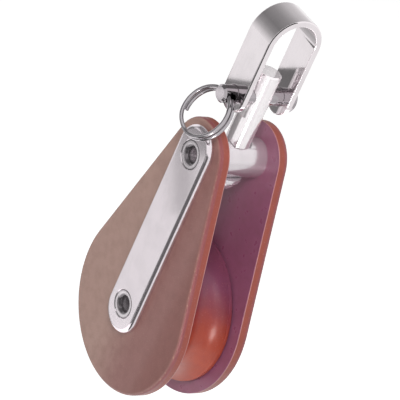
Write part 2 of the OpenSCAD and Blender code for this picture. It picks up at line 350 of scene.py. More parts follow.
@dataclass(frozen=True)
class Plate:
    """Flat plate of two rounds and their tangents, with a hole in each end, drawn in its own plane.

    Its coordinates are x across, s along from the lower hole's centre, and depth inwards from the outer face.
    Its faces are split up the middle line from split_reach radii and split_gap beyond each hole's centre.
    """

    low_r: float
    top_r: float
    low_s: float
    top_s: float
    hole: float
    top_hole_s: float
    thickness: float
    ease: float
    foot_ease: float = 0.15
    hole_break: float = 0.12
    sink_break: float = 0.08
    cone_break: float = 0.1
    split_reach: float = 2.2
    split_gap: float = 1.0
    arc_steps: int = 96
    end_steps: int = 28
    flank_steps: int = 48
    cross_steps: int = 1
    ease_steps: int = 6
    foot_steps: int = 3

    @property
    def lean(self) -> float:
        """Angle in radians that a flank's normal leans up from straight across."""
        return math.asin((self.low_r - self.top_r) / (self.top_s - self.low_s))

    @property
    def split(self) -> Pair:
        """Places along the plate between which its faces are split up the middle line."""
        reach = self.hole * self.split_reach + self.split_gap
        return reach, self.top_hole_s - reach

    def outline(self, inset: float) -> Array:
        """Rim drawn in by an inset: down the right flank, round the lower end, up the left flank and back.

        With a as the lean, the lower round spans 180 + 2 a degrees, the upper one 180 - 2 a, and a flank's
        half width at a place s is (low radius - inset - (s - low_s) sin a) / cos a.

        Args:
            inset: Distance in from the plate's own rim.

        Returns:
            Points of the rim as (x, s) pairs.
        """
        a, low_r, top_r = self.lean, self.low_r - inset, self.top_r - inset
        low_turn = np.linspace(math.pi / 2 - a, 1.5 * math.pi + a, self.arc_steps, endpoint=False)
        top_turn = np.linspace(1.5 * math.pi + a, 2.5 * math.pi - a, self.arc_steps, endpoint=False)
        low = turned(low_turn) * low_r + [0, self.low_s]
        top = turned(top_turn) * top_r + [0, self.top_s]
        bends = [self.low_s + low_r * math.sin(a), *self.split, self.top_s + top_r * math.sin(a)]
        steps = [self.end_steps, self.flank_steps, self.end_steps]
        places = [np.linspace(*bends[i : i + 2], steps[i], endpoint=False) for i in range(3)]
        returns = [np.linspace(bends[i + 1], bends[i], steps[i], endpoint=False) for i in (2, 1, 0)]
        up, down = np.concatenate(places), np.concatenate(returns)
        left = np.stack([((up - self.low_s) * math.sin(a) - low_r) / math.cos(a), up], axis=-1)
        right = np.stack([(low_r - (down - self.low_s) * math.sin(a)) / math.cos(a), down], axis=-1)
        return np.roll(np.concatenate([low, left, top, right]), self.end_steps, axis=0)

    def turns(self) -> tuple[Array, Array]:
        """Angles round the two holes that go with the rim's points at each end.

        A rim point at the angle b from the middle line goes to pi + (b - pi) pi / (pi - b0), where b0 is the
        angle of the end's first point, so that the hole's turn starts and ends on the middle line.

        Returns:
            Angles for the lower hole and for the upper one.
        """
        count = self.arc_steps + 2 * self.end_steps
        rim = self.outline(0.0)
        low, top = rim[:count], rim[count + self.flank_steps : 2 * count + self.flank_steps]
        low_b = np.arctan2(low[:, 0], low[:, 1]) % (2 * math.pi)
        top_b = (np.arctan2(top[:, 0], top[:, 1] - self.top_hole_s) - math.pi) % (2 * math.pi)
        wide = [math.pi + (b - math.pi) * math.pi / (math.pi - b[0]) for b in (low_b, top_b)]
        return wide[0], wide[1] + math.pi

    def inner_path(self, radius: float) -> Array:
        """Path inside the rim, point for point with it: round the lower hole, up the middle line, and back.

        Args:
            radius: Radius at which it goes round each hole.

        Returns:
            Points of the path as (x, s) pairs.
        """
        low_turn, top_turn = self.turns()
        first, last = [0, radius], [0, self.top_hole_s - radius]
        up = np.linspace(first, last, self.flank_steps, endpoint=False)
        down = np.linspace(last, first, self.flank_steps, endpoint=False)
        top = turned(top_turn) * radius + [0, self.top_hole_s]
        return np.concatenate([turned(low_turn) * radius, up, top, down])

    def rows(self) -> Array:
        """Rim rows: eased outer edge, side and broken inner edge, with supports.

        Returns:
            Rows as (inset, depth) pairs.
        """
        outer = arc_rows(self.ease, self.ease_steps)
        foot = arc_rows(self.foot_ease, self.foot_steps)[::-1] * [1, -1] + [0, self.thickness]
        start = [[self.ease + 4 * SUPPORT, 0], [self.ease + SUPPORT, 0]]
        side = [[0, self.ease + SUPPORT], [0, self.thickness - self.foot_ease - SUPPORT]]
        end = [[self.foot_ease + SUPPORT, self.thickness]]
        return np.concatenate([start, outer, side, foot, end])

    def hole_rows(self, sink: float, sink_depth: float) -> Array:
        """Hole rows from the outer face to the inner one, with a cone where the hole is countersunk.

        Args:
            sink: Width of the countersink at the outer face, 0 for none.
            sink_depth: Its depth.

        Returns:
            Rows as (radius, depth) pairs.
        """
        radius = self.hole
        corners = [[radius, 0], [radius, self.thickness]]
        breaks = [self.hole_break, self.hole_break]
        if sink:
            corners = [[radius + sink, 0], [radius, sink_depth], [radius, self.thickness]]
            breaks = [self.sink_break, self.cone_break, self.hole_break]
        outer = [[corners[0][0] + 4 * SUPPORT, 0]]
        inner = [[radius + 4 * SUPPORT, self.thickness]]
        return rounded(outer + corners + inner, [0, *breaks, 0], steps=3, closed=False)

    def grids(self, sink: float = 0.0, sink_depth: float = 0.0) -> list[Array]:
        """Grids of the plate as (x, s, depth) points.

        Args:
            sink: Width of the holes' countersink at the outer face.
            sink_depth: Its depth.

        Returns:
            The grid of the faces and the rim, and one for each hole. All of them wrap.
        """

        def deep(path: Array, depth: float) -> Array:
            """Path at a depth, as (x, s, depth) points."""
            return np.concatenate([path, np.full((len(path), 1), depth)], axis=1)

        rows = self.hole_rows(sink, sink_depth)
        face = deep(self.inner_path(rows[0, 0]), 0.0)
        foot = deep(self.inner_path(rows[-1, 0]), self.thickness)
        rim = [deep(self.outline(inset), depth) for inset, depth in self.rows()]
        between = np.linspace(0, 1, self.cross_steps + 1)[:-1, None, None]
        sheet = [*(face + (rim[0] - face) * between), *rim, *(foot + (rim[-1] - foot) * between)[::-1]]
        low_turn, top_turn = self.turns()
        low = [deep(turned(low_turn) * r, depth) for r, depth in rows]
        top = [deep(turned(top_turn) * r + [0, self.top_hole_s], depth) for r, depth in rows]
        return [np.stack(sheet), np.stack(low), np.stack(top)]

    def stood(
        self, name: str, face_y: float, foot_z: float, sink: float = 0.0, sink_depth: float = 0.0
    ) -> Piece:
        """Stands the plate upright on one side of the block.

        Args:
            name: Name of the piece.
            face_y: Place of its outer face.
            foot_z: Height of its lower hole's centre.
            sink: Width of its holes' countersink.
            sink_depth: Depth of the countersink.

        Returns:
            The piece, at the origin.
        """
        skin = Skin()
        side = math.copysign(1, face_y)
        for grid in self.grids(sink, sink_depth):
            x, s, depth = np.moveaxis(grid, -1, 0)
            skin.grid(np.stack([x, face_y - side * depth, foot_z + s], axis=-1), wrap=True)
        return skin.piece(name)


def swept(path: Array, radius: float, sides: int) -> Array:
    """Grid of a round wire carried along a path, with its ends rounded over.

    Each ring is centre + r (cos t u + sin t v), where u and v are square to the path's tangent and to each
    other, and u is level. Over the last steps r falls as a quarter of an ellipse does.

    Args:
        path: Points of the wire's centre line.
        radius: Radius of the wire.
        sides: Columns round the wire.

    Returns:
        Array of rings by sides by 3, to be wrapped, with a pole at each end.
    """
    tangent = np.gradient(path, axis=0)
    tangent /= np.linalg.norm(tangent, axis=1, keepdims=True)
    u = np.cross(tangent, [0.0, 0.0, 1.0])
    u /= np.linalg.norm(u, axis=1, keepdims=True)
    v = np.cross(tangent, u)
    dome = np.linspace(0, math.pi / 2, DOME_STEPS, endpoint=False)
    reach = (radius * DOME_LENGTH * np.cos(dome))[:, None]
    centres = np.concatenate([path[:1] - tangent[:1] * reach, path, path[-1:] + tangent[-1:] * reach[::-1]])
    ends = ((DOME_STEPS, DOME_STEPS), (0, 0))
    across, along = np.pad(u, ends, mode="edge"), np.pad(v, ends, mode="edge")
    r = radius * np.concatenate([np.sin(dome), np.ones(len(path)), np.sin(dome)[::-1]])
    t = np.linspace(0, 2 * math.pi, sides, endpoint=False)[None, :, None]
    return centres[:, None] + r[:, None, None] * (np.cos(t) * across[:, None] + np.sin(t) * along[:, None])


# Materials


class Value:
    """Socket that carries a number, with Python's operators on it."""

    def __init__(self, tree: "Tree", socket: bpy.types.NodeSocket) -> None:
        """Wraps one output socket of a tree."""
        self.tree = tree
        self.socket = socket

    def _math(self, operation: str, *values: "Value | float", clamp: bool = False) -> "Value":
        """New value from one Math node.

        Args:
            operation: What the node works out.
            values: Its inputs in order.
            clamp: True to hold the result between 0 and 1.

        Returns:
            The result.
        """
        settings = {"operation": operation, "use_clamp": clamp}
        node = self.tree.node("ShaderNodeMath", settings, dict(enumerate(values)))
        return Value(self.tree, node.outputs[0])

    def __add__(self, other: "Value | float") -> "Value":
        """Sum."""
        return self._math("ADD", self, other)

    def __radd__(self, other: float) -> "Value":
        """Sum with a number on the left."""
        return self._math("ADD", other, self)

    def __sub__(self, other: "Value | float") -> "Value":
        """Difference."""
        return self._math("SUBTRACT", self, other)

    def __rsub__(self, other: float) -> "Value":
        """Difference with a number on the left."""
        return self._math("SUBTRACT", other, self)

    def __mul__(self, other: "Value | float") -> "Value":
        """Product."""
        return self._math("MULTIPLY", self, other)

    def __rmul__(self, other: float) -> "Value":
        """Product with a number on the left."""
        return self._math("MULTIPLY", other, self)

    def __truediv__(self, other: "Value | float") -> "Value":
        """Quotient."""
        return self._math("DIVIDE", self, other)

    def __rtruediv__(self, other: float) -> "Value":
        """Quotient with a number on the left."""
        return self._math("DIVIDE", other, self)

    def __pow__(self, other: float) -> "Value":
        """Power."""
        return self._math("POWER", self, other)

    def __abs__(self) -> "Value":
        """Absolute value."""
        return self._math("ABSOLUTE", self)

    def sine(self) -> "Value":
        """Sine of an angle in radians."""
        return self._math("SINE", self)

    def clipped(self) -> "Value":
        """The value held between 0 and 1."""
        return self._math("ADD", self, 0.0, clamp=True)

    def rise(self, start: float, end: float) -> "Value":
        """Smooth step up from 0 to 1.

        Args:
            start: Value up to which it is 0.
            end: Value from which it is 1.

        Returns:
            The step.
        """
        settings = {"interpolation_type": "SMOOTHSTEP"}
        inputs = {"Value": self, "From Min": start, "From Max": end}
        return Value(self.tree, self.tree.node("ShaderNodeMapRange", settings, inputs).outputs[0])


class Shade(Value):
    """Socket that carries a colour."""

    def mixed(self, other: "Shade | Triple", factor: Value | float) -> "Shade":
        """This colour turned towards another by a factor, through one Mix node."""
        inputs = {0: factor, 6: self, 7: self.tree.colour(other)}
        return Shade(self.tree, self.tree.node("ShaderNodeMix", {"data_type": "RGBA"}, inputs).outputs[2])


def linear(red: float, green: float, blue: float) -> Triple:
    """Linear colour of an sRGB one that is given from 0 to 255.

    A share s of full goes to s / 12.92 up to 0.04045, and to ((s + 0.055) / 1.055) ^ 2.4 above it.

    Args:
        red: Red, from 0 to 255.
        green: Green, likewise.
        blue: Blue, likewise.

    Returns:
        The linear colour, from 0 to 1.
    """
    s = np.array([red, green, blue]) / 255
    low, high = s / 12.92, ((s + 0.055) / 1.055) ** 2.4
    r, g, b = np.where(s <= 0.04045, low, high).tolist()
    return r, g, b


class Tree:
    """Node tree of a material or a world, written through one method."""

    def __init__(self, owner: bpy.types.Material | bpy.types.World) -> None:
        """Starts with an empty tree.

        Args:
            owner: Material or world that the tree belongs to.
        """
        owner.use_nodes = True
        self.tree = owner.node_tree
        self.tree.nodes.clear()

    def colour(self, value: object) -> object:
        """A colour as a socket takes it: three numbers get an alpha, and anything else stays."""
        return (*value, 1.0) if isinstance(value, tuple) and len(value) == 3 else value

    def node(self, kind: str, settings: dict[str, object], inputs: dict[str | int, object]) -> bpy.types.Node:
        """Adds one node.

        Args:
            kind: Its type.
            settings: Its properties, or under "stops" the places and colours of a ramp, which are set first.
            inputs: Values or links of its sockets, by name or number.

        Returns:
            The node.
        """
        node = self.tree.nodes.new(kind)
        for name, value in settings.items():
            if name == "stops":
                self._set_stops(node.color_ramp, value)
            else:
                setattr(node, name, value)
        for key, value in inputs.items():
            socket = node.inputs[key]
            if isinstance(value, Value):
                self.tree.links.new(value.socket, socket)
            elif isinstance(value, bpy.types.NodeSocket):
                self.tree.links.new(value, socket)
            else:
                socket.default_value = value
        return node

    def _set_stops(self, ramp: bpy.types.ColorRamp, stops: Sequence[tuple[float, Triple]]) -> None:
        """Puts stops on a ramp.

        Args:
            ramp: The ramp.
            stops: Places from 0 to 1 and their colours.
        """
        while len(ramp.elements) < len(stops):
            ramp.elements.new(1.0)
        for element, (place, colour) in zip(ramp.elements, stops):
            element.position = place
            element.color = self.colour(colour)

    def rays(self, *kinds: str) -> Value:
        """Mask of rays.

        Args:
            kinds: Outputs of the Light Path node.

        Returns:
            1 for rays of those kinds and 0 for all others.
        """
        path = self.node("ShaderNodeLightPath", {}, {})
        total = Value(self, path.outputs[kinds[0]])
        for kind in kinds[1:]:
            total = total + Value(self, path.outputs[kind])
        return total.clipped()


class Recipe(Tree):
    """Node tree of one material around one Principled shader."""

    def __init__(self, name: str, roughness: float, metallic: float = 0.0) -> None:
        """Starts a material with a plain shader.

        Args:
            name: Name of the material.
            roughness: Roughness until a pattern takes its place.
            metallic: 1 for bare metal.
        """
        self.material = bpy.data.materials.new(name)
        super().__init__(self.material)
        inputs = {"Roughness": roughness, "Metallic": metallic}
        self.shader = self.node("ShaderNodeBsdfPrincipled", {}, inputs)
        self.node("ShaderNodeOutputMaterial", {}, {"Surface": self.shader.outputs[0]})
        self.place = self.node("ShaderNodeTexCoord", {}, {}).outputs["Object"]
        split = self.node("ShaderNodeSeparateXYZ", {}, {0: self.place})
        self.x, self.y, self.z = (Value(self, split.outputs[i]) / MM for i in range(3))

    def flat(self, colour: Triple) -> Shade:
        """One colour as a socket that patterns can be mixed over."""
        node = self.node("ShaderNodeMix", {"data_type": "RGBA"}, {0: 0.0, 6: self.colour(colour)})
        return Shade(self, node.outputs[2])

    def ramp(self, factor: Value, stops: Sequence[tuple[float, Triple]]) -> Shade:
        """Colour from a factor through a ramp's stops."""
        node = self.node("ShaderNodeValToRGB", {"stops": stops}, {0: factor})
        return Shade(self, node.outputs[0])

    def noise(self, grain: float, stretch: Triple = (1, 1, 1), detail: float = 3.0) -> Value:
        """Soft noise from 0 to 1.

        Args:
            grain: Size of its spots in millimetres.
            stretch: How many times longer they are along each axis.
            detail: Octaves of finer noise.

        Returns:
            The noise's value.
        """
        scale = tuple(1 / s for s in stretch)
        mapping = self.node("ShaderNodeMapping", {}, {"Vector": self.place, "Scale": scale})
        inputs = {"Vector": mapping.outputs[0], "Scale": 1 / (grain * MM)}
        inputs |= {"Detail": detail, "Roughness": FINE_SHARE}
        return Value(self, self.node("ShaderNodeTexNoise", {}, inputs).outputs[0])

    def waves(self, along: Value, pitch: float, shift: Value | float = 0.0) -> Value:
        """Even waves from 0 to 1: 0.5 + 0.5 sin(2 pi along / pitch + shift)."""
        return (along * (2 * math.pi / pitch) + shift).sine() * 0.5 + 0.5

    def radius(self, centre_z: Value | float) -> Value:
        """Distance in millimetres from an axis along Y at a height."""
        up = self.z - centre_z
        return (self.x * self.x + up * up) ** 0.5

    def bump(self, height: Value, depth: float) -> None:
        """Relief from a height of 0 to 1, its depth in millimetres."""
        node = self.node("ShaderNodeBump", {}, {"Height": height, "Distance": depth * MM})
        self.tree.links.new(node.outputs[0], self.shader.inputs["Normal"])

    def paint(self, colour: Shade, roughness: Value) -> None:
        """Links a colour and a roughness that change over the surface to the shader."""
        self.tree.links.new(colour.socket, self.shader.inputs["Base Color"])
        self.tree.links.new(roughness.socket, self.shader.inputs["Roughness"])

    def constant(self, **values: float) -> None:
        """Sets numbers that are the same all over on the shader's own sockets, by name with _ for a space."""
        for name, value in values.items():
            self.shader.inputs[name.replace("_", " ")].default_value = value


class Grain(Enum):
    """Directions of the fine marks on a metal surface: how many times longer they are along each axis."""

    LENGTHWISE = (1.0, 1.0, 30.0)
    TURNED = (22.0, 1.0, 22.0)
    POLISHED = (3.0, 3.0, 3.0)


@dataclass(frozen=True)
class Steel:
    """Stainless steel with fine marks, smears and small flecks, and with painted shade in the rivets' mouths.

    Sizes are of the noise's spots, tones are shares of the tint, and strengths are shares of a mixed colour.
    Only steel with shaded mouths has the painted shade, dark down each bore and round each lip's edge. It
    fades over the edges, which are distances from a rivet's axis, and over mouth_y, from the middle plane.
    Between is where, over the axle, the upper rivet follows the lower one.
    """

    name: str
    tint: Triple
    roughness: float
    spread: float
    grain: Grain
    relief: float = 0.004
    metallic: float = 1.0
    mouth_shaded: bool = False
    mark_size: float = 0.16
    smear_size: float = 7.0
    fleck_size: float = 0.9
    fleck_stretch: Triple = (1.0, 1.0, 2.5)
    fleck_step: Pair = (0.60, 0.74)
    fleck_gloss: float = 0.05
    fleck_relief: float = 0.3
    smear_tone: float = 0.90
    smear_from: float = 0.42
    smear_strength: float = 1.2
    mark_tone: float = 0.82
    mark_step: Pair = (0.55, 0.8)
    mark_strength: float = 0.35
    # painted shade: the dark tone and its strengths down the rivets' bores and round their lips
    mouth_shade_tone: Triple = (84, 78, 82)
    bore_shade: float = 0.85
    bore_edge: Pair = (2.5, 3.1)
    lip_shade: float = 0.75
    lip_edge: Pair = (3.35, 3.8)
    mouth_y: Pair = (11.2, 12.0)
    between: Pair = (20.0, 21.0)
    sizes: Sizes = SIZES

    def mouths(self, recipe: Recipe) -> Value:
        """Where shade is painted: down the mouths of the riveted ends and round their edges.

        Args:
            recipe: Recipe of the steel.

        Returns:
            The painted shade's cover from 0 to 1, by the distance from the nearer of the two rivets' axes.
        """
        s = self.sizes
        upper = (recipe.z - s.axle_z).rise(*self.between)
        radius = recipe.radius(upper * s.rivet_span + s.axle_z)
        down = 1 - radius.rise(*self.bore_edge)
        edge = radius.rise(*self.lip_edge)
        return (down * self.bore_shade + edge * self.lip_shade) * abs(recipe.y).rise(*self.mouth_y)

    def material(self) -> bpy.types.Material:
        """Makes the steel: marks run along the grain, and smears and flecks vary the gloss.

        Returns:
            The material.
        """
        recipe = Recipe(self.name, self.roughness, self.metallic)
        marks = recipe.noise(self.mark_size, self.grain.value)
        smear = recipe.noise(self.smear_size)
        fleck = recipe.noise(self.fleck_size, self.fleck_stretch, detail=4.0).rise(*self.fleck_step)
        uneven = (marks - 0.5) * self.spread + (smear - 0.5) * self.spread * self.smear_strength
        roughness = self.roughness + uneven + fleck * self.fleck_gloss
        smeared = linear(*(self.smear_tone * t for t in self.tint))
        marked = linear(*(self.mark_tone * t for t in self.tint))
        shade = recipe.flat(linear(*self.tint))
        shade = shade.mixed(smeared, (smear - self.smear_from).clipped() * self.smear_strength)
        shade = shade.mixed(marked, marks.rise(*self.mark_step) * self.mark_strength)
        # painted shade down the rivets' bores and round their lips
        if self.mouth_shaded:
            shade = shade.mixed(linear(*self.mouth_shade_tone), self.mouths(recipe))
        recipe.paint(shade, roughness.clipped())
        recipe.bump(marks * (1 - self.fleck_relief) + fleck * self.fleck_relief, self.relief)
        return recipe.material


@dataclass(frozen=True)
class CheekLaminate:
    """Fabric laminate of a cheek: a taupe face, a bare red rim of pressed plies and a plum inner face.
    Some of its colours are painted light: the taupe face is partly a painted sheen, the plum inner face partly
    painted shade, the mauve towards +X painted shade, the pale lip on the inner edge a painted highlight, and
    the paler patch high on the inner face a painted pool of light.

    Edges and steps are the values over which something comes or goes: of the depth below the outer face as a
    share of the thickness, of a place in millimetres where the name says so, and of a noise. Strengths are
    shares of a mixed colour, and sizes are of the noise's spots.
    """

    name: str
    # face is partly the laminate's own taupe and partly painted sheen
    face: Triple = (180, 144, 132)
    # painted shade: flank is the darker mauve of the face towards +X
    flank: Triple = (153, 104, 98)
    edge: Triple = (140, 72, 74)
    rim: Triple = (148, 67, 53)
    # painted highlight: the pale lip on the inner edge
    lip: Triple = (192, 140, 132)
    # inside is partly the laminate's own plum and partly painted shade
    inside: Triple = (154, 91, 119)
    # painted light: the tone of the paler patch high on the inner face
    pool_light_tone: Triple = (190, 158, 166)
    soil: Triple = (96, 62, 52)
    dust: Triple = (226, 200, 184)
    seam: Triple = (84, 44, 40)
    bare: Triple = (206, 160, 140)
    blotch_size: float = 2.6
    speck_size: float = 0.45
    wear_size: float = 1.3
    thread: float = 0.62
    ply: float = 0.36
    relief: float = 0.018
    face_edge: Pair = (0.03, 0.12)
    rim_start: Pair = (0.10, 0.16)
    rim_end: Pair = (0.93, 0.97)
    inner_edge: Pair = (0.96, 0.99)
    flank_x: Pair = (-5.0, 13.0)
    # where the painted pool of light lies on the inner face, and how strong it is
    light_pool_slope: float = 1.5
    light_pool_z: Pair = (-34.0, -6.0)
    light_pool_strength: float = 0.06
    soil_from: float = 0.42
    soil_strength: float = 0.55
    dust_step: Pair = (0.56, 0.8)
    dust_strength: float = 0.16
    seam_strength: float = 0.12
    wear_depth: float = 0.06
    wear_step: Pair = (0.5, 0.7)
    wear_strength: float = 0.5
    sizes: Sizes = SIZES

    def stops(self) -> list[tuple[float, Triple]]:
        """Colours by the depth below the outer face.

        The plum inside is partly painted shade, and the pale lip on the inner edge is a painted highlight.
        """
        places = (0.0, 0.32, 0.45, 0.88, 0.945, 0.985)
        colours = (self.edge, self.edge, self.rim, self.rim, self.lip, self.inside)
        return [(place, linear(*colour)) for place, colour in zip(places, colours)]

    def cloth(self, recipe: Recipe, blotch: Value, on_rim: Value) -> Value:
        """Weave of the cloth on the faces and its cut plies round the rim.

        Args:
            recipe: Recipe of the laminate.
            blotch: Noise that makes the plies wander.
            on_rim: 1 on the rim and 0 on the faces.

        Returns:
            Height of the cloth, from 0 to 1.
        """
        turn = 2 * math.pi / self.thread
        weave = (recipe.x * turn).sine() * (recipe.z * turn).sine() * 0.5 + 0.5
        plies = recipe.waves(self.sizes.cheek_y - abs(recipe.y), self.ply, blotch * 2.0)
        return (weave * (1 - on_rim) * 0.55 + plies * on_rim).clipped()

    def material(self) -> bpy.types.Material:
        """Makes the laminate, its colours laid by the depth of a point below the outer face.

        Returns:
            The material.
        """
        recipe = Recipe(self.name, 0.42)
        s = self.sizes
        depth = (s.cheek_y - abs(recipe.y)) / s.cheek_t
        blotch = recipe.noise(self.blotch_size, detail=4.0)
        speck = recipe.noise(self.speck_size)
        soft = depth + (blotch - 0.5) * 0.05 * (1 - depth.rise(0.8, 0.93))
        face = recipe.flat(linear(*self.face))
        # painted shade: the face turns to a darker mauve towards +X
        face = face.mixed(linear(*self.flank), (recipe.x + blotch * 6.0).rise(*self.flank_x))
        # the ramp's plum inside is partly painted shade, and the taupe face partly painted sheen
        shade = recipe.ramp(soft, self.stops()).mixed(face, 1 - soft.rise(*self.face_edge))
        # painted light: a paler patch high on the inner face, near the crosshead
        light_pool = (recipe.z - recipe.x * self.light_pool_slope - s.crosshead_z).rise(*self.light_pool_z)
        shade = shade.mixed(linear(*self.pool_light_tone), light_pool * depth.rise(*self.inner_edge) * self.light_pool_strength)
        on_rim = depth.rise(*self.rim_start) * (1 - depth.rise(*self.rim_end))
        cloth = self.cloth(recipe, blotch, on_rim)
        dust = speck.rise(*self.dust_step) * (1 - depth.rise(0.9, 1.0))
        worn = 1 - abs(depth - self.wear_depth).rise(0.0, self.wear_depth)
        wear = recipe.noise(self.wear_size).rise(*self.wear_step) * worn
        shade = shade.mixed(linear(*self.soil), (blotch - self.soil_from).clipped() * self.soil_strength)
        shade = shade.mixed(linear(*self.dust), dust * self.dust_strength)
        shade = shade.mixed(linear(*self.seam), (1 - cloth) * self.seam_strength)
        shade = shade.mixed(linear(*self.bare), wear * self.wear_strength)
        roughness = 0.40 + (blotch - 0.5) * 0.18 + on_rim * 0.06 - depth.rise(0.94, 1.0) * 0.10
        recipe.paint(shade, roughness.clipped())
        recipe.bump((cloth * 0.6 + speck * 0.4) * (1 - depth.rise(0.9, 0.99)), self.relief)
        recipe.constant(Coat_Weight=0.08, Coat_Roughness=0.25)
        return recipe.material


@dataclass(frozen=True)
class WheelLaminate:
    """Turned fabric laminate of the wheel: orange red, with cut plies that show as soft rings in its groove.

    The colours from warm to deep come with the height over the axle, from ramp_from over ramp_span, as painted
    shade:
    orange red low down and dark plum towards the top, where the wheel lies in shade between the cheeks. Rope
    edge is where, from the middle plane, the polish of the rope ends.
    """

    name: str
    # body, warm, dusk and deep are painted shade, orange red low down and dark plum towards the top; dusk also
    # tints random patches
    body: Triple = (180, 76, 50)
    warm: Triple = (152, 58, 40)
    dusk: Triple = (126, 54, 64)
    deep: Triple = (121, 65, 89)
    pale: Triple = (206, 140, 124)
    blotch_size: float = 3.2
    speck_size: float = 0.4
    ply: float = 0.42
    tool_pitch: Pair = (0.30, 0.33)
    rope_edge: Pair = (3.0, 6.0)
    relief: float = 0.010
    ramp_from: float = -6.0
    ramp_span: float = 23.0
    ramp_wander: float = 4.0
    dusk_from: float = 0.40
    dusk_strength: float = 0.4
    ply_strength: float = 0.08
    pale_step: Pair = (0.58, 0.8)
    pale_strength: float = 0.22
    sizes: Sizes = SIZES

    def stops(self) -> list[tuple[float, Triple]]:
        """Colours by the height, as a share of the ramp's span: painted shade, darker and plum towards the
        top.
        """
        places = (0.0, 0.50, 0.72, 0.92)
        colours = (self.body, self.warm, self.dusk, self.deep)
        return [(place, linear(*colour)) for place, colour in zip(places, colours)]

    def material(self) -> bpy.types.Material:
        """Makes the laminate, with rings by radius and a polish where the rope runs.

        Returns:
            The material.
        """
        recipe = Recipe(self.name, 0.34)
        s = self.sizes
        blotch = recipe.noise(self.blotch_size, detail=4.0)
        speck = recipe.noise(self.speck_size)
        plies = recipe.waves(recipe.y, self.ply, blotch * 3.0)
        radial, axial = self.tool_pitch
        turning = recipe.waves(recipe.radius(s.axle_z), radial, recipe.y * (2 * math.pi / axial))
        height = recipe.z - s.axle_z + (blotch - 0.5) * self.ramp_wander
        dusky = (blotch - self.dusk_from).clipped() * self.dusk_strength + plies * self.ply_strength
        # painted shade: the colour turns from orange red to dark plum with the height over the axle
        shade = recipe.ramp((height - self.ramp_from) / self.ramp_span, self.stops())
        shade = shade.mixed(linear(*self.dusk), dusky)
        shade = shade.mixed(linear(*self.pale), speck.rise(*self.pale_step) * self.pale_strength)
        polish = 1 - abs(recipe.y).rise(*self.rope_edge)
        roughness = 0.36 + (blotch - 0.5) * 0.14 + turning * 0.03 - polish * 0.06
        recipe.paint(shade, roughness.clipped())
        recipe.bump(turning * 0.35 + speck * 0.4 + plies * 0.25, self.relief)
        recipe.constant(Specular_IOR_Level=0.2, Coat_Weight=0.45, Coat_Roughness=0.24)
        return recipe.material


class Finish(Enum):
    """Finishes of the block's pieces."""

    CHEEK = CheekLaminate("cheek_laminate_finish")
    WHEEL = WheelLaminate("wheel_laminate_finish")
    STRAP = Steel("strap_steel_finish", (238, 229, 234), 0.15, 0.07, Grain.LENGTHWISE, 0.003)
    SHACKLE = Steel("shackle_steel_finish", (247, 240, 243), 0.07, 0.03, Grain.LENGTHWISE, 0.001)
    POST = Steel("post_steel_finish", (252, 247, 249), 0.07, 0.03, Grain.TURNED, 0.001, 0.65)
    # turned steel carries painted shade in the rivets' mouths
    TURNED = Steel("turned_steel_finish", (226, 219, 223), 0.18, 0.08, Grain.TURNED, 0.003, 0.75, mouth_shaded=True)
    # painted shade: the pin is a darker copy of the turned steel, for its place in shade between the shackle's
    # legs
    SHADED_PIN = Steel("shaded_pin_steel_finish", (176, 170, 174), 0.14, 0.06, Grain.TURNED, 0.002)
    RING = Steel("ring_steel_finish", (184, 179, 183), 0.15, 0.05, Grain.POLISHED, 0.001)


class Wardrobe:
    """Makes each finish once and dresses pieces in it."""

    def __init__(self) -> None:
        """Starts with no finish made."""
        self.made: dict[Finish, bpy.types.Material] = {}

    def dress(self, piece: Piece, finish: Finish, body: str, node: str) -> None:
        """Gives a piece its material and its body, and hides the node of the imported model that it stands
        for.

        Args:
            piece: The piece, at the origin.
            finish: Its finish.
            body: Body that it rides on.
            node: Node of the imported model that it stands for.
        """
        if finish not in self.made:
            self.made[finish] = finish.value.material()
        piece.data.materials.clear()
        piece.data.materials.append(self.made[finish])
        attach(piece, body)
        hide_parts(node)
        log.info("%s stands for %s with %d faces", piece.name, node, len(piece.data.polygons))


def eased_copy(node: str, name: str, width: float, crease: float = 35.0) -> Piece:
    """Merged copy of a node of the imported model, its sharp edges broken by a small bevel.

    Args:
        node: Name of the node.
        name: Name of the copy.
        width: Width of the broken edges in millimetres.
        crease: Angle in degrees past which an edge is broken.

    Returns:
        The copy, at the origin.
    """
    source: bpy.types.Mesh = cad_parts[node].data
    points = np.zeros(len(source.vertices) * 3)
    source.vertices.foreach_get("co", points)
    corners = np.zeros(len(source.loops), int)
    source.loops.foreach_get("vertex_index", corners)
    mesh = bpy.data.meshes.new(name)
    mesh.from_pydata(points.reshape(-1, 3).tolist(), [], corners.reshape(-1, 3).tolist())
    piece = finished(name, mesh, crease)
    bevel = piece.modifiers.new("broken_edges", "BEVEL")
    bevel.width = width * MM
    bevel.segments = 3
    bevel.limit_method = "ANGLE"
    bevel.angle_limit = math.radians(crease)
    bevel.harden_normals = True
    return piece


# Sub-assemblies


